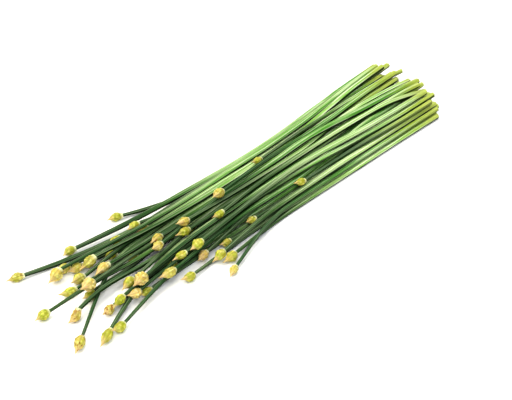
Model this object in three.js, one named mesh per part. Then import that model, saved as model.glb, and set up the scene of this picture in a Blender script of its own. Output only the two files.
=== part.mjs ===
// A loose bunch of garlic chive flower scapes lying on its side.
//
// Each scape grew as one piece: a slim angular stem, cut at one end, that narrows to a neck and
// swells into a flower head wrapped in a papery sheath with a drawn-out beak. The scapes are laid
// along their target lines, then settle as a pile: they sink, stay stiff and push each other clear.
// Millimetres, +Z up, +X along the stems towards the cut ends, heads towards -X.

import * as THREE from "three";

const { lerp, clamp, mapLinear, seededRandom } = THREE.MathUtils;

// Stems
const CUT_RADIUS = 2.3; // corner radius of the angular stem at the cut end
const NECK_RADIUS = 1.3; // the same just below the flower head
const TAPER_POWER = 0.5; // below 1, the stem thins mostly near the head
const STEM_VARIATION = 0.18; // share by which stems differ in thickness
const STEM_SIDES = 6;
const STEM_FLAT = Math.cos(Math.PI / STEM_SIDES); // height of a side over the corner radius
const CUT_SLANT = 0.35; // largest slope of the knife cut

// Sheaf of stems, seen from above: its right and left edges at the cut ends and at the waist
const CUT_EDGES = [-34, 42];
const CUT_TOP = [207, 26]; // along and across the bunch, where the cut ends reach furthest
const CUT_ROUNDING = 20; // how far the stems at the right edge fall short of that
const CUT_STAGGER = 7; // how far single stems are off that line
const CUT_NOTCH = [10, 5, 14]; // place across, half width and depth of a gap in the row of cut ends
const WAIST_X = 50; // from there to the heads the sheaf keeps its width
const WAIST_EDGES = [-33, 26];
const ORDER_SHUFFLE = 10; // how far across the sheaf a stem may swap places
const BOW = 2; // how far a stem bows aside between waist and cut end

// Stems spread from the sheaf towards their heads
const SPREAD = 0.35; // share of a far head's place across that is due to the spread
const SPREAD_REACH = 180; // distance from the waist to such a head
const BEND_LENGTH = 85; // last stretch of most stems, which turns towards the head's place
const BEND_POWER = 1.6;

// Forms of flower head: half width, length from neck to beak tip, floret relief, corners around
const HEAD_FORMS = {
  slim: { radius: 3.0, length: 12, relief: 0.04, sides: 8 },
  plump: { radius: 3.6, length: 13, relief: 0.06, sides: 8 },
  long: { radius: 3.4, length: 16, relief: 0.05, sides: 8 },
  full: { radius: 4.4, length: 13.5, relief: 0.11, sides: 10 },
};
const HEAD_VARIATION = 0.07;
const HEAD_CENTRE = 0.36; // widest point, as a share of the length from the neck
const BEAK_FOLLOW = 0.6; // how far the beak keeps the direction of the neck
const BEAK_BEND = 2.5; // how far a beak tip is bent aside
const NECK_LIFT = 0.87; // height of the neck over the half width of a head that lies on its side
const TIP_LIFT = 0.62; // the same for the beak tip

// Half width of a head along its length, both as shares, from the neck to the beak tip
const HEAD_PROFILE = [
  [0.07, 0.62],
  [0.19, 0.92],
  [HEAD_CENTRE, 1],
  [0.5, 0.9],
  [0.62, 0.56],
  [0.73, 0.24],
  [0.87, 0.1],
];

// Where each head in sight lies: along the bunch, across it, its level in the pile and its form,
// for some stems the place across the sheaf that they come from, and the stretch over which they turn
const SHOWN_HEADS = [
  [-87, 50, 0, "slim", 44],
  [-136, 44, 0, "plump", 40, 150],
  [-179, 48, 0, "slim", 36, 120],
  [-162, 28, 1, "full"],
  [-152, 29, 0, "plump"],
  [-109, 26, 0, "slim"],
  [-139, 21, 1, "plump"],
  [-146, 24, 0, "plump"],
  [-139, 5, 1, "long"],
  [-153, 14, 0, "plump"],
  [-160, -5, 1, "full"],
  [-159, -3, 0, "plump"],
  [-166, 9, 0, "long"],
  [-193, 4, 0, "plump"],
  [-180, -13, 0, "plump", -8],
  [-195, -34, 0, "plump", 16],
  [-179, -42, 0, "long", -13],
  [-168, -42, 0, "plump", -15],
  [-161, -24, 0, "plump"],
  [-152, -25, 0, "plump"],
  [-136, -18, 0, "plump"],
  [-133, -26, 1, "full"],
  [-141, -26, 0, "plump"],
  [-131, -31, 0, "slim"],
  [-93, 22, 0, "slim"],
  [-94, -1, 1, "plump"],
  [-100, -8, 2, "plump"],
  [-73, -6, 2, "plump"],
  [-76, -6, 1, "slim"],
  [-35, -4, 2, "plump"],
  [-49, -17, 2, "slim"],
  [-82, -28, 2, "plump"],
  [-79, -28, 1, "plump"],
  [-95, -26, 2, "slim"],
  [-72, -40, 0, "plump", -30],
  [-66, -44, 0, "plump", -36],
  [-75, -55, 0, "slim", -36],
  [-101, -39, 0, "plump", -32],
  [-113, -31, 1, "long"],
  [20, 8, 2, "slim"],
  [25, -31, 2, "slim"],
];

// Heads that lie hidden in the pile, under the others
const BURIED_HEADS = [
  [-120, 18, -1, "slim"],
  [-112, 6, -1, "slim"],
  [-100, -18, -1, "slim"],
  [-88, 20, -1, "slim"],
  [-84, -8, -1, "slim"],
  [-70, 14, -1, "slim"],
  [-62, -2, -1, "slim"],
  [-56, -30, -1, "slim"],
  [-48, 4, -1, "slim"],
  [-36, -12, -1, "slim"],
  [-28, -27, -1, "slim"],
  [-20, 18, -1, "slim"],
  [-10, -22, -1, "slim"],
  [8, -4, -1, "slim"],
];

// Settling of the pile
const SEED = 10;
const STATION = 30; // distance between the points that carry a stem's line
const SLICE = 2.5; // distance between the slices in which scapes push each other
const LEVEL_RISE = 9; // height of one level before the pile settles
const LEVEL_SPREAD = 0.7; // share of a level by which starting heights differ
const GAP = 0.45; // clear space kept between scapes
const SETTLE_STEPS = 160;
const SINK = 0.15; // fall in one step
const STEM_PULL = 0.03; // share of the way back to its target line in one step
const HEAD_PULL = 0.12;
const STIFFNESS = 0.35;
const PUSH_ROUNDS = 3;
const CLEARING_ROUNDS = 160;

// Colours along a scape, from the cut end to the beak
const CUT_GREEN = new THREE.Color("#cfdd92");
const STEM_GREEN = new THREE.Color("#82a75c");
const NECK_GREEN = new THREE.Color("#557f57");
const HEAD_GREEN = new THREE.Color("#c2c45a");
const BEAK_STRAW = new THREE.Color("#bd9c62");
const CUT_BLEACH = 60; // length of paler stem at the cut end

seededRandom(SEED);
const between = (low, high) => lerp(low, high, seededRandom());

// Half width of a head at a share of its length from the neck
function headRadius(scape, share) {
  const outline = [[0, NECK_RADIUS / scape.radius], ...HEAD_PROFILE, [1, 0]];
  const next = outline.findIndex(([along]) => along >= share);
  if (next <= 0) return outline.at(next)[1] * scape.radius;
  const [a, b] = [outline[next - 1], outline[next]];
  return mapLinear(share, a[0], b[0], a[1], b[1]) * scape.radius;
}

function stemRadius(scape, x) {
  const share = clamp((x - scape.neckX) / (scape.cutX - scape.neckX), 0, 1);
  return scape.thickness * lerp(NECK_RADIUS, CUT_RADIUS, share ** TAPER_POWER);
}

// One scape's sizes, and the place of its head
function growScape([headX, headY, level, form, lane, bendLength = BEND_LENGTH]) {
  const { radius, length, relief, sides } = HEAD_FORMS[form];
  const size = between(1 - HEAD_VARIATION, 1 + HEAD_VARIATION);
  const spread = (SPREAD * (WAIST_X - headX)) / SPREAD_REACH;
  return {
    headX,
    headY,
    lane: lane ?? headY * (1 - spread),
    bendLength,
    level: level + between(0, LEVEL_SPREAD),
    relief,
    sides,
    radius: radius * size,
    length: length * size,
    neckX: headX + HEAD_CENTRE * length * size,
    tipX: headX - (1 - HEAD_CENTRE) * length * size,
    thickness: between(1 - STEM_VARIATION, 1 + STEM_VARIATION),
    bend: [between(-BEAK_BEND, BEAK_BEND), between(-BEAK_BEND, BEAK_BEND)],
    slant: between(-CUT_SLANT, CUT_SLANT),
    bow: between(-BOW, BOW),
  };
}

// Shares out the width between two edges of the sheaf in the order of the stems' lanes, with swaps
function shareOut(scapes, [right, left], place) {
  const keyed = scapes.map((scape) => {
    return { scape, key: scape.lane + between(-ORDER_SHUFFLE, ORDER_SHUFFLE) };
  });
  keyed.sort((a, b) => a.key - b.key);
  keyed.forEach(({ scape }, rank) => {
    place(scape, mapLinear(rank, 0, keyed.length - 1, right, left));
  });
}

function placeInSheaf(scapes) {
  const [topX, topY] = CUT_TOP;
  const [notchY, notchHalfWidth, notchDepth] = CUT_NOTCH;
  shareOut(scapes, WAIST_EDGES, (scape, y) => {
    scape.waistY = y;
  });
  shareOut(scapes, CUT_EDGES, (scape, y) => {
    const rounding = CUT_ROUNDING * ((y - topY) / (CUT_EDGES[0] - topY)) ** 2;
    const notch = Math.abs(y - notchY) < notchHalfWidth ? notchDepth : 0;
    scape.cutY = y;
    scape.cutX = topX - rounding - notch + between(-CUT_STAGGER, CUT_STAGGER);
  });
}

// Where a stem is meant to lie across the bunch: bowed in the sheaf, then turning to its head
function targetAcross({ headX, headY, bendLength, waistY, cutX, cutY, bow }, x) {
  const alongSheaf = Math.max(0, (x - WAIST_X) / (cutX - WAIST_X));
  const bowed = bow * Math.sin(Math.PI * alongSheaf);
  const inSheaf = lerp(waistY, cutY, alongSheaf) + bowed;
  const turn = clamp(1 - (x - headX) / bendLength, 0, 1);
  return lerp(inSheaf, headY, turn ** BEND_POWER);
}

// The points that carry a scape's line: beak tip, head, neck, stations along the stem, cut end
function layLine(scape) {
  const { tipX, headX, neckX, cutX } = scape;
  const halfWidth = (1 + scape.relief) * scape.radius;
  const lifts = new Map([[tipX, TIP_LIFT], [headX, 1], [neckX, NECK_LIFT]]);
  const stations = [];
  const first = Math.ceil((neckX + STATION / 2) / STATION);
  for (let i = first; i * STATION < cutX - STATION / 2; i++) stations.push(i * STATION);
  scape.line = [tipX, headX, neckX, ...stations, cutX].map((x) => {
    const y = targetAcross(scape, x);
    const lift = lifts.get(x);
    const lowest = lift ? lift * halfWidth : STEM_FLAT * stemRadius(scape, x);
    const z = lowest + scape.level * LEVEL_RISE;
    return { x, y, z, targetY: y, lowest, onHead: x === headX };
  });
}

// Slices across a scape: its two nearest line points, how they share the slice, its half width
function sliceScape(scape) {
  const slices = [];
  for (let b = 1; b < scape.line.length; b++) {
    const [from, to] = [scape.line[b - 1], scape.line[b]];
    for (let i = Math.ceil(from.x / SLICE); i * SLICE < to.x; i++) {
      const share = (i * SLICE - from.x) / (to.x - from.x);
      const alongHead = (scape.neckX - i * SLICE) / scape.length;
      const stem = lerp(stemRadius(scape, from.x), stemRadius(scape, to.x), share);
      const head = (1 + scape.relief) * headRadius(scape, alongHead);
      slices.push({ place: i, from, to, share, radius: alongHead > 0 ? head : stem });
    }
  }
  return slices;
}

// Moves one slice by moving the two line points that carry it
function shiftSlice({ from, to, share }, dy, dz) {
  const scale = 1 / (share ** 2 + (1 - share) ** 2);
  from.y += dy * scale * (1 - share);
  from.z += dz * scale * (1 - share);
  to.y += dy * scale * share;
  to.z += dz * scale * share;
}

// Pushes two slices at the same place along the bunch apart where they crowd each other
function pushApart(a, b) {
  const dy = lerp(b.from.y, b.to.y, b.share) - lerp(a.from.y, a.to.y, a.share);
  const clear = a.radius + b.radius + GAP;
  if (Math.abs(dy) >= clear) return;
  const dz = lerp(b.from.z, b.to.z, b.share) - lerp(a.from.z, a.to.z, a.share);
  const distance = Math.hypot(dy, dz);
  if (distance >= clear || distance === 0) return;
  const push = (clear - distance) / distance / 2;
  shiftSlice(a, -dy * push, -dz * push);
  shiftSlice(b, dy * push, dz * push);
}

function pushAllApart(places, scapes) {
  for (const slices of places.values()) {
    for (let i = 0; i < slices.length; i++) {
      for (let j = i + 1; j < slices.length; j++) pushApart(slices[i], slices[j]);
    }
  }
  for (const { line } of scapes) {
    for (const point of line) point.z = Math.max(point.z, point.lowest);
  }
}

// One step of sinking, returning to the target line and springing back to its grown curve
function relax({ line, bend }) {
  for (const point of line) {
    point.z -= SINK;
    point.y += (point.targetY - point.y) * (point.onHead ? HEAD_PULL : STEM_PULL);
  }
  for (let i = 2; i < line.length - 1; i++) {
    const [before, point, after] = line.slice(i - 1, i + 2);
    const share = (point.x - before.x) / (after.x - before.x);
    const grown = point.targetY - lerp(before.targetY, after.targetY, share);
    point.y += (lerp(before.y, after.y, share) + grown - point.y) * STIFFNESS;
    point.z += (lerp(before.z, after.z, share) - point.z) * STIFFNESS;
  }
  const [tip, head, neck] = line;
  const reach = (BEAK_FOLLOW * (head.x - tip.x)) / (neck.x - head.x);
  tip.y = head.y + (head.y - neck.y) * reach + bend[0];
  tip.z = head.z + (head.z - neck.z) * reach + bend[1];
}

function settle(scapes) {
  const places = new Map();
  for (const slice of scapes.flatMap(sliceScape)) {
    if (!places.has(slice.place)) places.set(slice.place, []);
    places.get(slice.place).push(slice);
  }
  for (let step = 0; step < SETTLE_STEPS; step++) {
    scapes.forEach(relax);
    for (let round = 0; round < PUSH_ROUNDS; round++) pushAllApart(places, scapes);
  }
  for (let round = 0; round < CLEARING_ROUNDS; round++) pushAllApart(places, scapes);
}

// A ring of corners round the scape's line, with the colour of the scape there
function ringAt(scape, x, sides, cornerRadius, colour, slant = 0) {
  const next = Math.max(1, scape.line.findIndex((point) => point.x >= x));
  const [from, to] = [scape.line[next - 1], scape.line[next]];
  const share = (x - from.x) / (to.x - from.x);
  const y = lerp(from.y, to.y, share);
  const z = lerp(from.z, to.z, share);
  const corners = [];
  for (let i = 0; i < sides; i++) {
    const turn = (i / sides) * 2 * Math.PI;
    const across = cornerRadius(i) * Math.cos(turn);
    corners.push([x + slant * across, y + across, z + cornerRadius(i) * Math.sin(turn)]);
  }
  return { corners, colour };
}

function stemColour(scape, x) {
  const pale = clamp(1 - (scape.cutX - x) / CUT_BLEACH, 0, 1);
  const towardsNeck = clamp((scape.cutX - x) / (scape.cutX - scape.neckX), 0, 1);
  const green = STEM_GREEN.clone().lerp(NECK_GREEN, towardsNeck);
  return green.lerp(CUT_GREEN, pale);
}

// Rings from the beak tip, which is a single corner, to the cut end
function scapeRings(scape) {
  const { line, length, neckX, relief, sides } = scape;
  const [tip] = line;
  const rings = [{ corners: [[tip.x, tip.y, tip.z]], colour: BEAK_STRAW }];
  for (const [row, [along]] of [...HEAD_PROFILE.entries()].reverse()) {
    const bump = (i) => 1 + relief * ((i + row) % 2 ? 1 : -1);
    const radius = (i) => headRadius(scape, along) * bump(i);
    const colour = HEAD_GREEN.clone().lerp(BEAK_STRAW, along);
    rings.push(ringAt(scape, neckX - along * length, sides, radius, colour));
  }
  for (const { x } of line.slice(2)) {
    const slant = x === scape.cutX ? scape.slant : 0;
    const radius = () => stemRadius(scape, x);
    rings.push(ringAt(scape, x, STEM_SIDES, radius, stemColour(scape, x), slant));
  }
  return rings;
}

// Triangles between two rings, which may differ in their number of corners
function bridge(from, to, faces) {
  const a = (i) => from.start + (i % from.corners.length);
  const b = (j) => to.start + (j % to.corners.length);
  const [sidesA, sidesB] = [from.corners.length, to.corners.length];
  let [i, j] = [0, 0];
  while (i < sidesA || j < sidesB) {
    if (sidesA > 1 && i < sidesA && (i + 1) / sidesA <= (j + 1) / sidesB) {
      faces.push(a(i), a(i + 1), b(j));
      i++;
    } else if (j < sidesB) {
      faces.push(a(i), b(j + 1), b(j));
      j++;
    } else break;
  }
}

// A closed skin over the rings, with a flat cut end
function scapeGeometry(scape) {
  const rings = scapeRings(scape);
  const positions = [];
  const colours = [];
  const faces = [];
  for (const ring of rings) {
    ring.start = positions.length / 3;
    for (const corner of ring.corners) {
      positions.push(...corner);
      colours.push(...ring.colour.toArray());
    }
  }
  for (let i = 1; i < rings.length; i++) bridge(rings[i - 1], rings[i], faces);
  const cut = rings.at(-1).start;
  for (let i = 1; i < STEM_SIDES - 1; i++) faces.push(cut, cut + i, cut + i + 1);
  const geometry = new THREE.BufferGeometry();
  geometry.setAttribute("position", new THREE.Float32BufferAttribute(positions, 3));
  geometry.setAttribute("color", new THREE.Float32BufferAttribute(colours, 3));
  geometry.setIndex(faces);
  geometry.computeVertexNormals();
  return geometry;
}

const scapes = [...SHOWN_HEADS, ...BURIED_HEADS].map(growScape);
placeInSheaf(scapes);
scapes.forEach(layLine);
settle(scapes);

const bunch = new THREE.Group();
scapes.forEach((scape, i) => {
  const skin = new THREE.MeshStandardMaterial({ vertexColors: true, roughness: 0.5, metalness: 0 });
  const mesh = new THREE.Mesh(scapeGeometry(scape), skin);
  mesh.name = `scape_${String(i + 1).padStart(2, "0")}`;
  bunch.add(mesh);
});

// The origin is under the middle of the bunch, on the surface it lies on
const box = new THREE.Box3().setFromObject(bunch);
const middle = box.getCenter(new THREE.Vector3());
bunch.position.set(-middle.x, -middle.y, -box.min.z);

export default bunch;
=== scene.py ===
"""Looks of a loose bunch of garlic chive flower scapes lying on its side.

Each scape is two pieces, a stem and a flower head. Both are grown by Geometry Nodes along the line
that the scape's own solid gives, so they lie where the solid lies. Metres, +Z up.
"""
import math

import bpy
import numpy as np
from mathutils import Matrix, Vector


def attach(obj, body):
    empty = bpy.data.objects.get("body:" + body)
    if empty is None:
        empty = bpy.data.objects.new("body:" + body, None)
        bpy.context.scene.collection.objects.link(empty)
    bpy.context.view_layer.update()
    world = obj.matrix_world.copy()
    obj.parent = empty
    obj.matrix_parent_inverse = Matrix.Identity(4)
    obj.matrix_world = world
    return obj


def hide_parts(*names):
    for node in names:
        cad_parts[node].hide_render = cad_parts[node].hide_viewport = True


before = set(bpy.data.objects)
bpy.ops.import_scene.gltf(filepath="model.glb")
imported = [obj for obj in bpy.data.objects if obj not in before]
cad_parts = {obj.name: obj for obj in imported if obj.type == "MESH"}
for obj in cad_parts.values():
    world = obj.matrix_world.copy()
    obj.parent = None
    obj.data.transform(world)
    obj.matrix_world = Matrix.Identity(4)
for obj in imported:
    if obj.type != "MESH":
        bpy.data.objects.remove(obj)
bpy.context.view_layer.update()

MM = 0.001

# How a scape's solid is laid out: a beak tip, rings of corners along the head, rings along the stem
SOLID_HEAD_RINGS = 7
CUT_CORNERS = 6
RING_GAP = 0.05 * MM  # corners further apart than this along the bunch belong to different rings

# Stems
STEM_SPACING = 4 * MM  # between the rings of a stem
STEM_SIDES = 36
STEM_ROUNDING = 10  # passes that round off the corners of the solid's line
RIDGES = 6
HALF_SIDE = math.pi / RIDGES  # half of the turn from one ridge of a stem to the next
ANGULARITY = 0.97  # from 0, a round stem, to 1, one with flat sides
ROUND_REACH = 0.93  # width of a round stem over that of an angular one from ridge to ridge
SETTLED_TURN = 0.5  # how far a stem is turned about its line, in radians
SWELLING = 0.05  # how much a stem's thickness wanders
SWELLS = 18.0  # how often it wanders in a metre
CUT_REACH = 4 * MM  # how far along the stem the slant of its cut goes
SKIN_REACH = 1.95 * MM  # half width of a usual stem, to which its patterns are scaled
BLEACHED = (20 * MM, 120 * MM)  # least and greatest length from the cut that has turned pale
# Tone of some stems, by number, from deep green at 0 to pale at 1
DEEP_STEMS = {2: 0.18, 3: 0.27, 4: 0.3, 45: 0.41}

# Flower heads
HEAD_RINGS = 44
HEAD_SIDES = 48
HEAD_ROUNDING = 3
HEAD_REACH = 3.5 * MM  # half width of a usual head, to which its veins are scaled
COLLAR_SWELL = 1.3  # width of the collar where the sheath starts, over the stem's
COLLAR_RIM = 0.22 * MM  # height of the collar's rim
BUD_SPACING = 2.1 * MM  # between the buds that press against the sheath from inside
BUD_RELIEF = 0.55 * MM
FULL_BUD_RELIEF = 1.0 * MM
FULL_HEADS = (4, 11, 22)
FOLD_DEPTH = 0.22  # depth of the sheath's folds towards the beak, as a share of the width
FOLDS = ((5.0, 0.6), (3.0, 0.4))  # folds round a head, and the share that they have of the depth
FOLD_TURN = 4.0  # how far the folds wind round a head from neck to beak tip, in radians
WELD = 0.02 * MM  # corners closer than this become one

# From where to where these rise to their full, as shares of a head's length from the neck
RIM_RISES = (0.1, 0.03)
BUDS_RISE = (0.06, 0.24)
BUDS_RISE_FROM_BEAK = (0.76, 0.5)
FOLDS_RISE = (0.42, 0.74)

# How far each sheath has dried, from fresh lime green at 0 to straw at 1, for the heads in sight
DRYNESS = {
    1: 0.2, 2: 0.2, 3: 0.35, 4: 0.65, 5: 0.5, 6: 0.2, 7: 0.4, 8: 0.55, 9: 0.85, 10: 0.4,
    11: 0.8, 12: 0.15, 13: 0.2, 14: 0.15, 15: 0.7, 16: 0.4, 17: 0.25, 18: 0.2, 19: 0.65, 20: 0.15,
    21: 0.3, 22: 0.7, 23: 0.85, 24: 0.2, 25: 0.2, 26: 0.5, 27: 0.6, 28: 0.65, 29: 0.2, 30: 0.5,
    31: 0.15, 32: 0.2, 33: 1.0, 34: 0.25, 35: 0.3, 36: 0.3, 37: 0.6, 38: 0.2, 39: 0.45, 40: 0.2,
    41: 0.25,
}
DRYNESS_OUT_OF_SIGHT = (0.1, 0.5)
# How strongly brown spots show on some of them
SPOTTED = {3: 0.5, 15: 0.6, 16: 0.9, 19: 0.9, 22: 0.4, 26: 0.8, 28: 0.5, 30: 0.5, 33: 0.3}

# The pale surface under the bunch, which ends where it is still bright
FLOOR_RADIUS = 1.15
FLOOR_CORNERS = 96

# The view, fitted to the photograph
VIEW_AIM = Vector((-5.08, -5.5, 0)) * MM
VIEW_TURN = 42  # degrees from +X to the way the camera looks, seen from above
VIEW_ELEVATION = 35
VIEW_DISTANCE = 907 * MM
LENS = 86.06  # mm, on a sensor 36 mm wide

# Soft square lights: turn from the view and elevation in degrees, distance and size in metres,
# watts and colour
LIGHTS = {
    "key": (-75, 64, 1.6, 1.8, 36, "#fffaf0"),
    "fill": (20, 45, 2.0, 1.6, 31, "#f4f8ff"),
    "sheen": (160, 50, 3.0, 1.5, 34, "#fbfff4"),
}
WALL_LIGHT = 0.85
CEILING_LIGHT = 0.01
WALL_TOP = (0.03, 0.2)  # height, as a sine, over which the pale walls give way to the ceiling


def linear(hex_colour):
    """An sRGB hex colour as linear RGBA."""
    channels = [int(hex_colour[i : i + 2], 16) / 255 for i in (1, 3, 5)]
    return [c / 12.92 if c <= 0.04045 else ((c + 0.055) / 1.055) ** 2.4 for c in channels] + [1]


def add(tree, kind, inputs=(), out=None, **settings):
    """Adds a node with its settings, sets or links its inputs, and returns one of its outputs."""
    node = tree.nodes.new(kind)
    for name, value in settings.items():
        setattr(node, name, value)
    for key, value in (inputs if isinstance(inputs, dict) else dict(enumerate(inputs))).items():
        named = [s for s in node.inputs if s.enabled and s.name == key]
        socket = named[0] if named else node.inputs[key]
        if isinstance(value, bpy.types.NodeSocket):
            tree.links.new(value, socket)
        elif value is not None:
            socket.default_value = value
    shown = [s for s in node.outputs if s.enabled]
    return node.outputs[out] if out else shown[0] if shown else None


def start_tree(name, inputs):
    """A Geometry Nodes tree with a line of points going in, and named inputs."""
    tree = bpy.data.node_groups.new(name, "GeometryNodeTree")
    tree.interface.new_socket("Geometry", in_out="OUTPUT", socket_type="NodeSocketGeometry")
    tree.interface.new_socket("Line", in_out="INPUT", socket_type="NodeSocketGeometry")
    for label, kind in inputs.items():
        tree.interface.new_socket(label, in_out="INPUT", socket_type="NodeSocket" + kind)
    return tree, tree.nodes.new("NodeGroupInput").outputs


def finish_tree(tree, mesh, material):
    """Keeps the mesh above the surface it lies on, and gives it its material."""
    place = add(tree, "GeometryNodeInputPosition")
    unbound = -9  # metres, further out than anything reaches
    lifted = add(tree, "ShaderNodeVectorMath", [place, (unbound, unbound, 0)], operation="MAXIMUM")
    mesh = add(tree, "GeometryNodeSetPosition", {"Geometry": mesh, "Position": lifted})
    mesh = add(tree, "GeometryNodeRealizeInstances", [mesh])
    mesh = add(tree, "GeometryNodeSetMaterial", {"Geometry": mesh, "Material": material})
    add(tree, "NodeGroupOutput", [mesh])


def stem_tree(material):
    """A soft six-ridged stem along a line, with a slanted knife cut at the line's far end."""
    tree, given = start_tree("chive stem", {
        "Spacing": "Float", "Sides": "Int", "Rounding": "Int", "Angularity": "Float",
        "Swelling": "Float", "Turn": "Float", "Cut slant": "Float", "Tone": "Float",
        "Bleached": "Float", "Seed": "Float",
    })

    # The line, with its corners rounded off
    line = add(tree, "GeometryNodeMeshToCurve", [given["Line"]])
    line = add(tree, "GeometryNodeResampleCurve", {"Curve": line, "Length": given["Spacing"]},
               mode="LENGTH")
    place = add(tree, "GeometryNodeInputPosition")
    ends = add(tree, "GeometryNodeCurveEndpointSelection")
    inner = add(tree, "FunctionNodeBooleanMath", [ends], operation="NOT")
    rounded = add(tree, "GeometryNodeBlurAttribute",
                  {"Value": place, "Iterations": given["Rounding"], "Weight": inner},
                  data_type="FLOAT_VECTOR")
    line = add(tree, "GeometryNodeSetPosition", {"Geometry": line, "Position": rounded})
    line = add(tree, "GeometryNodeSetCurveNormal", {"Curve": line}, mode="Z_UP")
    line = add(tree, "GeometryNodeSetCurveTilt", {"Curve": line, "Tilt": given["Turn"]})

    # What the surface needs to know of the line
    along = add(tree, "GeometryNodeSplineParameter", out="Length")
    length = add(tree, "GeometryNodeCurveLength", [line])
    to_cut = add(tree, "ShaderNodeMath", [length, along], operation="SUBTRACT")
    for name, value, kind in (("from_neck", along, "FLOAT"), ("to_cut", to_cut, "FLOAT"),
                              ("line", place, "FLOAT_VECTOR"), ("tone", given["Tone"], "FLOAT"),
                              ("bleached", given["Bleached"], "FLOAT")):
        line = add(tree, "GeometryNodeStoreNamedAttribute",
                   {"Geometry": line, "Name": name, "Value": value}, data_type=kind, domain="POINT")

    # The ridged profile
    circle = add(tree, "GeometryNodeCurvePrimitiveCircle",
                 {"Resolution": given["Sides"], "Radius": 1.0})
    circle = add(tree, "GeometryNodeStoreNamedAttribute",
                 {"Geometry": circle, "Name": "around", "Value": place},
                 data_type="FLOAT_VECTOR", domain="POINT")
    share = add(tree, "GeometryNodeSplineParameter")
    turn = add(tree, "ShaderNodeMath", [share, math.tau], operation="MULTIPLY")
    from_ridge = add(tree, "ShaderNodeMath", [turn, HALF_SIDE], operation="PINGPONG")
    from_flat = add(tree, "ShaderNodeMath", [HALF_SIDE, from_ridge], operation="SUBTRACT")
    flat = add(tree, "ShaderNodeMath", [from_flat], operation="COSINE")
    flat = add(tree, "ShaderNodeMath", [math.cos(HALF_SIDE), flat], operation="DIVIDE")
    reach = add(tree, "ShaderNodeMix", {"Factor": given["Angularity"], "A": ROUND_REACH, "B": flat})
    ridged = add(tree, "ShaderNodeVectorMath", {"Vector": place, "Scale": reach}, operation="SCALE")
    profile = add(tree, "GeometryNodeSetPosition", {"Geometry": circle, "Position": ridged})

    # The stem, whose thickness wanders a little
    girth = add(tree, "GeometryNodeInputNamedAttribute", {"Name": "girth"}, data_type="FLOAT")
    wander = add(tree, "ShaderNodeTexNoise",
                 {"W": add(tree, "ShaderNodeMath", [along, SWELLS, given["Seed"]],
                           operation="MULTIPLY_ADD"), "Scale": 1.0, "Detail": 2.0},
                 noise_dimensions="1D")
    low = add(tree, "ShaderNodeMath", [1.0, given["Swelling"]], operation="SUBTRACT")
    high = add(tree, "ShaderNodeMath", [1.0, given["Swelling"]], operation="ADD")
    swell = add(tree, "ShaderNodeMapRange", {"Value": wander, "From Min": 0.25, "From Max": 0.75,
                                             "To Min": low, "To Max": high})
    scale = add(tree, "ShaderNodeMath", [girth, swell], operation="MULTIPLY")
    stem = add(tree, "GeometryNodeCurveToMesh", {"Curve": line, "Profile Curve": profile,
                                                 "Scale": scale, "Fill Caps": True})

    # The slant of the knife cut
    middle = add(tree, "GeometryNodeInputNamedAttribute", {"Name": "line"},
                 data_type="FLOAT_VECTOR")
    off_line = add(tree, "ShaderNodeVectorMath", [place, middle], operation="SUBTRACT")
    across = add(tree, "ShaderNodeSeparateXYZ", [off_line], out="Y")
    left = add(tree, "GeometryNodeInputNamedAttribute", {"Name": "to_cut"}, data_type="FLOAT")
    near = add(tree, "ShaderNodeMapRange", {"Value": left, "From Min": CUT_REACH, "From Max": 0.0})
    slanted = add(tree, "ShaderNodeMath", [across, given["Cut slant"]], operation="MULTIPLY")
    shift = add(tree, "ShaderNodeMath", [slanted, near], operation="MULTIPLY")
    offset = add(tree, "ShaderNodeCombineXYZ", {"X": shift})
    stem = add(tree, "GeometryNodeSetPosition", {"Geometry": stem, "Offset": offset})

    # Flat cut faces, the only ones with more than four corners, and smooth sides
    corners = add(tree, "GeometryNodeInputMeshFaceNeighbors")
    is_cut = add(tree, "FunctionNodeCompare", {"A": corners, "B": 4}, data_type="INT",
                 operation="GREATER_THAN")
    stem = add(tree, "GeometryNodeStoreNamedAttribute",
               {"Geometry": stem, "Name": "cut_face", "Value": is_cut},
               data_type="FLOAT", domain="FACE")
    side = add(tree, "FunctionNodeBooleanMath", [is_cut], operation="NOT")
    stem = add(tree, "GeometryNodeSetShadeSmooth", {"Geometry": stem, "Shade Smooth": side},
               domain="FACE")
    finish_tree(tree, stem, material)
    return tree


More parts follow.
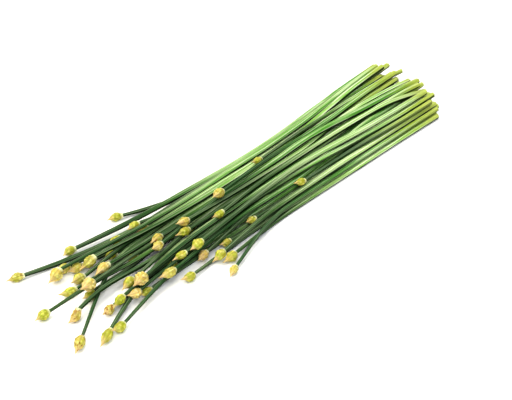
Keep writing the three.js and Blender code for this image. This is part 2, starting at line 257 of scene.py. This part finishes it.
def head_tree(material):
    """A sheathed flower head along a line: buds press out, folds gather towards the beak."""
    tree, given = start_tree("flower head", {
        "Rings": "Int", "Sides": "Int", "Rounding": "Int", "Bud spacing": "Float",
        "Bud relief": "Float", "Fold depth": "Float", "Dryness": "Float", "Spots": "Float",
        "Seed": "Float",
    })

    # The line and its girth, with their corners rounded off
    line = add(tree, "GeometryNodeMeshToCurve", [given["Line"]])
    line = add(tree, "GeometryNodeResampleCurve", {"Curve": line, "Count": given["Rings"]})
    place = add(tree, "GeometryNodeInputPosition")
    ends = add(tree, "GeometryNodeCurveEndpointSelection")
    inner = add(tree, "FunctionNodeBooleanMath", [ends], operation="NOT")
    rounded = add(tree, "GeometryNodeBlurAttribute",
                  {"Value": place, "Iterations": given["Rounding"], "Weight": inner},
                  data_type="FLOAT_VECTOR")
    line = add(tree, "GeometryNodeSetPosition", {"Geometry": line, "Position": rounded})
    line = add(tree, "GeometryNodeSetCurveNormal", {"Curve": line}, mode="Z_UP")
    girth = add(tree, "GeometryNodeInputNamedAttribute", {"Name": "girth"}, data_type="FLOAT")
    full = add(tree, "GeometryNodeBlurAttribute",
               {"Value": girth, "Iterations": given["Rounding"], "Weight": inner},
               data_type="FLOAT")
    share = add(tree, "GeometryNodeSplineParameter")
    for name, value, kind in (("share", share, "FLOAT"), ("girth", full, "FLOAT"),
                              ("line", place, "FLOAT_VECTOR"), ("seed", given["Seed"], "FLOAT"),
                              ("dryness", given["Dryness"], "FLOAT"),
                              ("spots", given["Spots"], "FLOAT")):
        line = add(tree, "GeometryNodeStoreNamedAttribute",
                   {"Geometry": line, "Name": name, "Value": value}, data_type=kind, domain="POINT")
    circle = add(tree, "GeometryNodeCurvePrimitiveCircle",
                 {"Resolution": given["Sides"], "Radius": 1.0})
    circle = add(tree, "GeometryNodeStoreNamedAttribute",
                 {"Geometry": circle, "Name": "around", "Value": place},
                 data_type="FLOAT_VECTOR", domain="POINT")
    head = add(tree, "GeometryNodeCurveToMesh", {"Curve": line, "Profile Curve": circle,
                                                 "Scale": girth, "Fill Caps": True})

    # Buds that press out through the sheath over the round of the head
    on_head = add(tree, "GeometryNodeInputNamedAttribute", {"Name": "share"}, data_type="FLOAT")
    pitch = add(tree, "ShaderNodeMath", [1.0, given["Bud spacing"]], operation="DIVIDE")
    cell = add(tree, "ShaderNodeTexVoronoi", {"W": given["Seed"], "Scale": pitch,
                                              "Smoothness": 0.35, "Randomness": 0.7},
               voronoi_dimensions="4D", feature="SMOOTH_F1")
    dome = add(tree, "ShaderNodeMapRange", {"Value": cell, "From Min": 0.75, "From Max": 0.15},
               interpolation_type="SMOOTHSTEP")
    starts = add(tree, "ShaderNodeMapRange",
                 {"Value": on_head, "From Min": BUDS_RISE[0], "From Max": BUDS_RISE[1]},
                 interpolation_type="SMOOTHSTEP")
    ceases = add(tree, "ShaderNodeMapRange",
                 {"Value": on_head, "From Min": BUDS_RISE_FROM_BEAK[0],
                  "From Max": BUDS_RISE_FROM_BEAK[1]},
                 interpolation_type="SMOOTHSTEP")
    window = add(tree, "ShaderNodeMath", [starts, ceases], operation="MULTIPLY")
    bud = add(tree, "ShaderNodeMath", [dome, window], operation="MULTIPLY")
    head = add(tree, "GeometryNodeStoreNamedAttribute",
               {"Geometry": head, "Name": "bud", "Value": bud}, data_type="FLOAT", domain="POINT")
    bud = add(tree, "GeometryNodeInputNamedAttribute", {"Name": "bud"}, data_type="FLOAT")
    risen = add(tree, "ShaderNodeMath", [bud, given["Bud relief"]], operation="MULTIPLY")
    sunk = add(tree, "ShaderNodeMath", [window, given["Bud relief"]], operation="MULTIPLY")
    buds = add(tree, "ShaderNodeMath", [sunk, -0.5, risen], operation="MULTIPLY_ADD")

    # Folds of the sheath, deepest at the foot of the beak
    ring = add(tree, "GeometryNodeInputNamedAttribute", {"Name": "around"},
               data_type="FLOAT_VECTOR")
    sine = add(tree, "ShaderNodeSeparateXYZ", [ring], out="Y")
    cosine = add(tree, "ShaderNodeSeparateXYZ", [ring], out="X")
    angle = add(tree, "ShaderNodeMath", [sine, cosine], operation="ARCTAN2")
    spiral = add(tree, "ShaderNodeMath", [on_head, FOLD_TURN, given["Seed"]],
                 operation="MULTIPLY_ADD")
    folds = []
    for count, strength in FOLDS:
        phase = add(tree, "ShaderNodeMath", [angle, count, spiral], operation="MULTIPLY_ADD")
        wave = add(tree, "ShaderNodeMath", [phase], operation="SINE")
        folds.append(add(tree, "ShaderNodeMath", [wave, strength], operation="MULTIPLY"))
    fold = add(tree, "ShaderNodeMath", folds, operation="ADD")
    gather = add(tree, "ShaderNodeMapRange",
                 {"Value": on_head, "From Min": FOLDS_RISE[0], "From Max": FOLDS_RISE[1],
                  "To Max": given["Fold depth"]},
                 interpolation_type="SMOOTHSTEP")
    fold = add(tree, "ShaderNodeMath", [fold, gather], operation="MULTIPLY")
    fold = add(tree, "ShaderNodeMath", [fold, girth], operation="MULTIPLY")

    # The collar where the sheath starts
    rim = add(tree, "ShaderNodeMapRange",
              {"Value": on_head, "From Min": RIM_RISES[0], "From Max": RIM_RISES[1],
               "To Max": COLLAR_RIM},
              interpolation_type="SMOOTHSTEP")
    relief = add(tree, "ShaderNodeMath", [buds, fold], operation="ADD")
    relief = add(tree, "ShaderNodeMath", [relief, rim], operation="ADD")
    middle = add(tree, "GeometryNodeInputNamedAttribute", {"Name": "line"},
                 data_type="FLOAT_VECTOR")
    out = add(tree, "ShaderNodeVectorMath", [place, middle], operation="SUBTRACT")
    out = add(tree, "ShaderNodeVectorMath", [out], operation="NORMALIZE")
    offset = add(tree, "ShaderNodeVectorMath", {"Vector": out, "Scale": relief}, operation="SCALE")
    head = add(tree, "GeometryNodeSetPosition", {"Geometry": head, "Offset": offset})
    head = add(tree, "GeometryNodeMergeByDistance", {"Geometry": head, "Distance": WELD})
    head = add(tree, "GeometryNodeSetShadeSmooth", {"Geometry": head, "Shade Smooth": True},
               domain="FACE")
    finish_tree(tree, head, material)
    return tree


def new_material(name):
    """A material, its node tree and its surface shader."""
    material = bpy.data.materials.new(name)
    material.use_nodes = True
    tree = material.node_tree
    return material, tree, tree.nodes["Principled BSDF"]


def over_skin(width, length):
    """Scale of a pattern on a stem, from its size round the stem and along it."""
    return (SKIN_REACH / width, SKIN_REACH / width, 1 / length)


def waxy_stem():
    """Fresh chive stem: a waxy green skin with fine lengthwise fibres, bleached towards the cut.
    The eye sees long pale and dark streaks, a soft sheen and blue-green bloom below the head.
    Painted shade darkens the flanks, and the pale wax along the ridges also serves as painted
    highlights."""
    material, tree, skin = new_material("waxy chive stem")
    to_cut = add(tree, "ShaderNodeAttribute", out="Fac", attribute_name="to_cut")
    from_neck = add(tree, "ShaderNodeAttribute", out="Fac", attribute_name="from_neck")
    tone = add(tree, "ShaderNodeAttribute", out="Fac", attribute_name="tone")
    around = add(tree, "ShaderNodeAttribute", out="Vector", attribute_name="around")
    cut_face = add(tree, "ShaderNodeAttribute", out="Fac", attribute_name="cut_face")
    bleached = add(tree, "ShaderNodeAttribute", out="Fac", attribute_name="bleached")

    # Place on the stem: round it, along it, and metres apart from that on other stems
    stems_apart = 40.0
    apart = add(tree, "ShaderNodeMath", [tone, stems_apart, to_cut], operation="MULTIPLY_ADD")
    lengthwise = add(tree, "ShaderNodeCombineXYZ", {"Z": apart})
    skin_place = add(tree, "ShaderNodeVectorMath", [around, lengthwise], operation="ADD")

    # Each side of a stem has a tone of its own
    sides_apart = 50.0
    sine = add(tree, "ShaderNodeSeparateXYZ", [around], out="Y")
    cosine = add(tree, "ShaderNodeSeparateXYZ", [around], out="X")
    angle = add(tree, "ShaderNodeMath", [sine, cosine], operation="ARCTAN2")
    side = add(tree, "ShaderNodeMath", [angle, 2 * HALF_SIDE], operation="DIVIDE")
    side = add(tree, "ShaderNodeMath", [side], operation="FLOOR")
    side = add(tree, "ShaderNodeMath", [tone, sides_apart, side], operation="MULTIPLY_ADD")
    side = add(tree, "ShaderNodeTexWhiteNoise", {"W": side}, noise_dimensions="1D")

    # Long streaks
    squeezed = add(tree, "ShaderNodeVectorMath", [skin_place, over_skin(1.5 * MM, 62.5 * MM)],
                   operation="MULTIPLY")
    streak = add(tree, "ShaderNodeTexNoise", {"Vector": squeezed, "Scale": 1.0, "Detail": 3.0,
                                              "Roughness": 0.55})
    streak = add(tree, "ShaderNodeMapRange", {"Value": streak, "From Min": 0.36, "From Max": 0.66,
                                              "To Min": -0.4, "To Max": 0.6},
                 interpolation_type="SMOOTHSTEP")
    streak = add(tree, "ShaderNodeMath", [side, 0.8, streak], operation="MULTIPLY_ADD",
                 use_clamp=True)
    # Fibres, drawn coarser than life so that they show
    drawn_out = add(tree, "ShaderNodeVectorMath", [skin_place, over_skin(0.2167 * MM, 25 * MM)],
                    operation="MULTIPLY")
    fibre = add(tree, "ShaderNodeTexNoise", {"Vector": drawn_out, "Scale": 1.0, "Detail": 2.0})

    deep = add(tree, "ShaderNodeMix", {"Factor": tone, "A": linear("#4f8a36"),
                                       "B": linear("#86b852")}, data_type="RGBA")
    light = add(tree, "ShaderNodeMix", {"Factor": tone, "A": linear("#a8c388"),
                                        "B": linear("#bacd94")}, data_type="RGBA")
    colour = add(tree, "ShaderNodeMix", {"Factor": streak, "A": deep, "B": light},
                 data_type="RGBA")
    # Dark bloom towards the head
    bloom = add(tree, "ShaderNodeMapRange",
                {"Value": from_neck, "From Min": 160 * MM, "From Max": 45 * MM, "To Max": 0.86},
                interpolation_type="SMOOTHSTEP")
    colour = add(tree, "ShaderNodeMix", {"Factor": bloom, "A": colour, "B": linear("#1a3622")},
                 data_type="RGBA")
    # Pale wax on the ridges, which also serves as painted highlights where the ridges would catch
    # the light, in lines about 1 mm wide that come and go, faint below the head and on deep green
    # stems; they are drawn wider than life so that they show
    ridge = add(tree, "ShaderNodeMath", [angle, RIDGES], operation="MULTIPLY")
    ridge = add(tree, "ShaderNodeMath", [ridge], operation="COSINE")
    ridge = add(tree, "ShaderNodeMapRange", {"Value": ridge, "From Min": 0.0, "From Max": 0.7},
                interpolation_type="SMOOTHSTEP")
    pressed = add(tree, "ShaderNodeVectorMath", [skin_place, over_skin(0.975 * MM, 50 * MM)],
                  operation="MULTIPLY")
    wax_and_highlight = add(tree, "ShaderNodeTexNoise", {"Vector": pressed, "Scale": 1.0, "Detail": 1.0})
    wax_and_highlight = add(tree, "ShaderNodeMapRange", {"Value": wax_and_highlight, "From Min": 0.44, "From Max": 0.53,
                                           "To Max": 0.95}, interpolation_type="SMOOTHSTEP")
    wax_and_highlight = add(tree, "ShaderNodeMath", [wax_and_highlight, ridge], operation="MULTIPLY")
    waxed_and_highlit = add(tree, "ShaderNodeMapRange",
                {"Value": from_neck, "From Min": 50 * MM, "From Max": 170 * MM, "To Min": 0.2},
                interpolation_type="SMOOTHSTEP")
    wax_and_highlight = add(tree, "ShaderNodeMath", [wax_and_highlight, waxed_and_highlit], operation="MULTIPLY")
    coated_and_highlit = add(tree, "ShaderNodeMapRange", {"Value": tone, "To Min": 0.5, "To Max": 1.1})
    wax_and_highlight = add(tree, "ShaderNodeMath", [wax_and_highlight, coated_and_highlit], operation="MULTIPLY")
    # Painted highlight and wax: the ridge lines are mixed in pale
    colour = add(tree, "ShaderNodeMix", {"Factor": wax_and_highlight, "A": colour, "B": linear("#d4e0bc")},
                 data_type="RGBA")
    # Bleached from the cut, further along some streaks and stems than others
    reach = add(tree, "ShaderNodeMath", [streak, 30 * MM, to_cut], operation="MULTIPLY_ADD")
    reach = add(tree, "ShaderNodeMath", [reach, bleached], operation="DIVIDE")
    bleach = add(tree, "ShaderNodeMapRange", {"Value": reach, "From Min": 1.1, "From Max": 0.2,
                                              "To Max": 0.8}, interpolation_type="SMOOTHSTEP")
    colour = add(tree, "ShaderNodeMix", {"Factor": bleach, "A": colour, "B": linear("#98a63e")},
                 data_type="RGBA")
    ends = add(tree, "ShaderNodeMapRange", {"Value": to_cut, "From Min": 22 * MM, "From Max": 0.0,
                                            "To Max": 0.55})
    colour = add(tree, "ShaderNodeMix", {"Factor": ends, "A": colour, "B": linear("#bac062")},
                 data_type="RGBA")
    dark = add(tree, "ShaderNodeMapRange", {"Value": fibre, "From Min": 0.3, "From Max": 0.7,
                                            "To Min": 0.84, "To Max": 1.14})
    colour = add(tree, "ShaderNodeMix", {"Factor": 1.0, "A": colour, "B": dark},
                 data_type="RGBA", blend_type="MULTIPLY")
    # Painted shade: where the surface turns from upward to the flanks it is darkened to deep green,
    # standing in for the shade between the stems; the upper side keeps its colour
    facing = add(tree, "ShaderNodeNewGeometry", out="Normal")
    upward = add(tree, "ShaderNodeSeparateXYZ", [facing], out="Z")
    painted_flank_shade = add(tree, "ShaderNodeMapRange", {"Value": upward, "From Min": 0.46, "From Max": 0.08,
                                             "To Max": 0.97}, interpolation_type="SMOOTHSTEP")
    colour = add(tree, "ShaderNodeMix", {"Factor": painted_flank_shade, "A": colour, "B": linear("#0d2604")},
                 data_type="RGBA")
    colour = add(tree, "ShaderNodeMix", {"Factor": cut_face, "A": colour, "B": linear("#dfe6b4")},
                 data_type="RGBA")
    tree.links.new(colour, skin.inputs["Base Color"])
    rough = add(tree, "ShaderNodeMapRange", {"Value": fibre, "To Min": 0.26, "To Max": 0.44})
    tree.links.new(rough, skin.inputs["Roughness"])
    bump = add(tree, "ShaderNodeBump", {"Strength": 0.3, "Distance": 0.06 * MM, "Height": fibre})
    tree.links.new(bump, skin.inputs["Normal"])
    skin.inputs["IOR"].default_value = 1.45
    skin.inputs["Specular IOR Level"].default_value = 0.1
    return material


def papery_sheath():
    """Flower sheath: a thin papery skin over packed buds, veined lengthwise and drawn to a beak.
    The eye sees a cream collar, lime green over the buds, and straw where the sheath has dried."""
    material, tree, skin = new_material("papery flower sheath")
    share = add(tree, "ShaderNodeAttribute", out="Fac", attribute_name="share")
    bud = add(tree, "ShaderNodeAttribute", out="Fac", attribute_name="bud")
    dryness = add(tree, "ShaderNodeAttribute", out="Fac", attribute_name="dryness")
    spots = add(tree, "ShaderNodeAttribute", out="Fac", attribute_name="spots")
    seed = add(tree, "ShaderNodeAttribute", out="Fac", attribute_name="seed")
    around = add(tree, "ShaderNodeAttribute", out="Vector", attribute_name="around")
    place = add(tree, "ShaderNodeTexCoord", out="Object")

    # Veins and pleats about 1 mm apart, drawn coarser than life so that they show
    lengthwise = add(tree, "ShaderNodeCombineXYZ", {"Z": seed})
    vein_place = add(tree, "ShaderNodeVectorMath",
                     {"Vector": around, "Scale": HEAD_REACH / (1 * MM)}, operation="SCALE")
    vein_place = add(tree, "ShaderNodeVectorMath", [vein_place, lengthwise], operation="ADD")
    vein = add(tree, "ShaderNodeTexNoise", {"Vector": vein_place, "Scale": 1.0, "Detail": 2.0})
    # Cloudy patches about 3 mm across
    cloud = add(tree, "ShaderNodeTexNoise", {"Vector": place, "Scale": 1 / (3 * MM), "Detail": 3.0})

    fresh = add(tree, "ShaderNodeMix", {"Factor": bud, "A": linear("#8e980e"),
                                        "B": linear("#c5cb42")}, data_type="RGBA")
    dry = add(tree, "ShaderNodeMix", {"Factor": bud, "A": linear("#cfb05a"),
                                      "B": linear("#e8dca0")}, data_type="RGBA")
    parched = add(tree, "ShaderNodeMapRange", {"Value": cloud, "From Min": 0.3, "From Max": 0.7,
                                               "To Min": -0.25, "To Max": 0.25})
    parched = add(tree, "ShaderNodeMath", [parched, dryness], operation="ADD", use_clamp=True)
    colour = add(tree, "ShaderNodeMix", {"Factor": parched, "A": fresh, "B": dry},
                 data_type="RGBA")
    collar = add(tree, "ShaderNodeMapRange", {"Value": share, "From Min": 0.2, "From Max": 0.04,
                                              "To Max": 0.85}, interpolation_type="SMOOTHSTEP")
    colour = add(tree, "ShaderNodeMix", {"Factor": collar, "A": colour, "B": linear("#e8eab8")},
                 data_type="RGBA")
    # The beak dries first, and further down on a sheath that is dry
    wilt = add(tree, "ShaderNodeMath", [parched, 0.18, share], operation="MULTIPLY_ADD")
    beak = add(tree, "ShaderNodeMapRange", {"Value": wilt, "From Min": 0.58, "From Max": 0.86,
                                            "To Max": 0.9}, interpolation_type="SMOOTHSTEP")
    colour = add(tree, "ShaderNodeMix", {"Factor": beak, "A": colour, "B": linear("#d2b67c")},
                 data_type="RGBA")
    # Brown spots about 2 mm across
    spot = add(tree, "ShaderNodeTexNoise", {"Vector": place, "Scale": 1 / (2.2 * MM),
                                            "Detail": 1.0})
    spot = add(tree, "ShaderNodeMapRange", {"Value": spot, "From Min": 0.54, "From Max": 0.64},
               interpolation_type="SMOOTHSTEP")
    spot = add(tree, "ShaderNodeMath", [spot, spots], operation="MULTIPLY")
    colour = add(tree, "ShaderNodeMix", {"Factor": spot, "A": colour, "B": linear("#8d5a1c")},
                 data_type="RGBA")
    lines = add(tree, "ShaderNodeMapRange", {"Value": vein, "From Min": 0.35, "From Max": 0.65,
                                             "To Min": 0.68, "To Max": 1.11})
    colour = add(tree, "ShaderNodeMix", {"Factor": 1.0, "A": colour, "B": lines},
                 data_type="RGBA", blend_type="MULTIPLY")
    tree.links.new(colour, skin.inputs["Base Color"])
    bump = add(tree, "ShaderNodeBump", {"Strength": 0.35, "Distance": 0.1 * MM, "Height": vein})
    tree.links.new(bump, skin.inputs["Normal"])
    skin.inputs["Roughness"].default_value = 0.5
    skin.inputs["IOR"].default_value = 1.42
    skin.inputs["Subsurface Weight"].default_value = 0.25
    skin.inputs["Subsurface Radius"].default_value = (1.0, 0.8, 0.2)
    skin.inputs["Subsurface Scale"].default_value = 1.2 * MM
    return material


def scape_rings(node):
    """A solid's beak tip, its rings of corners from there along head and stem, and its cut ring."""
    corners = np.unique(np.round([v.co for v in node.data.vertices], 6), axis=0)
    tip, body, cut = corners[0], corners[1:-CUT_CORNERS], corners[-CUT_CORNERS:]
    starts = np.flatnonzero(np.diff(body[:, 0]) > RING_GAP) + 1
    return tip, np.split(body, starts), cut


def girth_of(ring):
    """Mean distance of a ring's corners from its middle."""
    return float(np.linalg.norm(ring - ring.mean(0), axis=1).mean())


def grow(name, points, girths, tree, inputs):
    """Runs a tree along a line of points, and keeps the result as a plain mesh."""
    line = bpy.data.meshes.new(name + "_line")
    line.from_pydata([tuple(p) for p in points], [(i, i + 1) for i in range(len(points) - 1)], [])
    line.attributes.new("girth", "FLOAT", "POINT").data.foreach_set("value", girths)
    piece = bpy.data.objects.new(name, line)
    bpy.context.scene.collection.objects.link(piece)
    grower = piece.modifiers.new("grower", "NODES")
    grower.node_group = tree
    for item in tree.interface.items_tree:
        if item.name in inputs:
            grower[item.identifier] = inputs[item.name]
    grown = piece.evaluated_get(bpy.context.evaluated_depsgraph_get())
    mesh = bpy.data.meshes.new_from_object(grown)
    piece.modifiers.remove(grower)
    piece.data = mesh
    mesh.name = name
    bpy.data.meshes.remove(line)
    return piece


def dress(piece, node):
    """Sets a piece in place of a node's solid."""
    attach(piece, "root")
    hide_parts(node)


def dress_scape(number, name, node, stems, heads):
    """Stem and flower head of one scape."""
    tip, rings, cut = scape_rings(node)
    head_rings, neck = rings[:SOLID_HEAD_RINGS], rings[SOLID_HEAD_RINGS]
    luck = np.random.default_rng(number)
    seed = float(luck.uniform(0, 50))

    stem_rings = [*rings[SOLID_HEAD_RINGS - 1 :], cut]
    girths = [girth_of(neck)] + [girth_of(ring) for ring in stem_rings[1:]]
    across = cut[:, 1] - cut[:, 1].mean()
    slant = float(np.polyfit(across, cut[:, 0], 1)[0])
    stem = grow(name + "_stem", [ring.mean(0) for ring in stem_rings], girths, stems, {
        "Spacing": STEM_SPACING, "Sides": STEM_SIDES, "Rounding": STEM_ROUNDING,
        "Angularity": ANGULARITY, "Swelling": SWELLING,
        "Turn": float(luck.uniform(-SETTLED_TURN, SETTLED_TURN)), "Cut slant": slant,
        "Tone": DEEP_STEMS.get(number, float(luck.uniform(0, 1))),
        "Bleached": float(luck.uniform(*BLEACHED)), "Seed": seed,
    })
    dress(stem, name)

    line = [neck.mean(0)] + [ring.mean(0) for ring in reversed(head_rings)] + [tip]
    girths = [COLLAR_SWELL * girth_of(neck)] + [girth_of(r) for r in reversed(head_rings)] + [0.0]
    head = grow(name + "_head", line, girths, heads, {
        "Rings": HEAD_RINGS, "Sides": HEAD_SIDES, "Rounding": HEAD_ROUNDING,
        "Bud spacing": BUD_SPACING, "Fold depth": FOLD_DEPTH,
        "Bud relief": FULL_BUD_RELIEF if number in FULL_HEADS else BUD_RELIEF,
        "Dryness": DRYNESS.get(number, float(luck.uniform(*DRYNESS_OUT_OF_SIGHT))),
        "Spots": SPOTTED.get(number, 0.0), "Seed": seed,
    })
    dress(head, name)


def floor():
    """Matt white card under the bunch. The eye sees an even white with hardly any mottle."""
    material, tree, skin = new_material("matt white card")
    place = add(tree, "ShaderNodeTexCoord", out="Object")
    # Mottle about 4 mm across, coarser than life
    grain = add(tree, "ShaderNodeTexNoise", {"Vector": place, "Scale": 1 / (4 * MM), "Detail": 2.0})
    colour = add(tree, "ShaderNodeMix", {"Factor": grain, "A": linear("#f3f2ef"),
                                         "B": linear("#f8f7f4")}, data_type="RGBA")
    tree.links.new(colour, skin.inputs["Base Color"])
    skin.inputs["Roughness"].default_value = 0.8
    mesh = bpy.data.meshes.new("floor")
    turns = [math.tau * i / FLOOR_CORNERS for i in range(FLOOR_CORNERS)]
    rim = [(FLOOR_RADIUS * math.cos(turn), FLOOR_RADIUS * math.sin(turn), 0) for turn in turns]
    mesh.from_pydata(rim, [], [range(FLOOR_CORNERS)])
    mesh.materials.append(material)
    card = bpy.data.objects.new("floor", mesh)
    bpy.context.scene.collection.objects.link(card)


def look_along(turn, elevation):
    """The direction that looks down on the bunch at these angles, in degrees."""
    turn, elevation = math.radians(turn), math.radians(elevation)
    flat = math.cos(elevation)
    return Vector((flat * math.cos(turn), flat * math.sin(turn), -math.sin(elevation)))


def place_camera():
    """The camera that the picture is taken with."""
    camera = bpy.data.objects.new("camera", bpy.data.cameras.new("camera"))
    look = look_along(VIEW_TURN, VIEW_ELEVATION)
    camera.location = VIEW_AIM - look * VIEW_DISTANCE
    camera.rotation_euler = look.to_track_quat("-Z", "Y").to_euler()
    camera.data.lens = LENS
    camera.data.clip_start = 0.01
    bpy.context.scene.collection.objects.link(camera)
    bpy.context.scene.camera = camera


def place_light(name, turn, elevation, distance, size, watts, colour):
    """A soft square light that shines on the bunch along the given direction."""
    data = bpy.data.lights.new(name, "AREA")
    data.size = size
    data.energy = watts
    data.color = linear(colour)[:3]
    light = bpy.data.objects.new(name, data)
    look = look_along(turn, elevation)
    light.location = -look * distance
    light.rotation_euler = look.to_track_quat("-Z", "Y").to_euler()
    bpy.context.scene.collection.objects.link(light)


def light_studio():
    """The lights, and a room with pale walls and a dim ceiling."""
    for name, (turn, *rest) in LIGHTS.items():
        place_light(name, VIEW_TURN + turn, *rest)
    world = bpy.data.worlds.new("studio")
    world.use_nodes = True
    tree = world.node_tree
    direction = add(tree, "ShaderNodeTexCoord", out="Generated")
    height = add(tree, "ShaderNodeSeparateXYZ", [direction], out="Z")
    wall = add(tree, "ShaderNodeMapRange",
               {"Value": height, "From Min": WALL_TOP[0], "From Max": WALL_TOP[1],
                "To Min": WALL_LIGHT, "To Max": CEILING_LIGHT},
               interpolation_type="SMOOTHSTEP")
    backdrop = tree.nodes["Background"]
    backdrop.inputs["Color"].default_value = linear("#ffffff")
    tree.links.new(wall, backdrop.inputs["Strength"])
    bpy.context.scene.world = world
    bpy.context.scene.view_settings.view_transform = "Standard"
    bpy.context.scene.view_settings.look = "Medium High Contrast"


stems = stem_tree(waxy_stem())
heads = head_tree(papery_sheath())
for number, name in enumerate(sorted(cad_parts), 1):
    dress_scape(number, name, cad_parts[name], stems, heads)
floor()
place_camera()
light_studio()
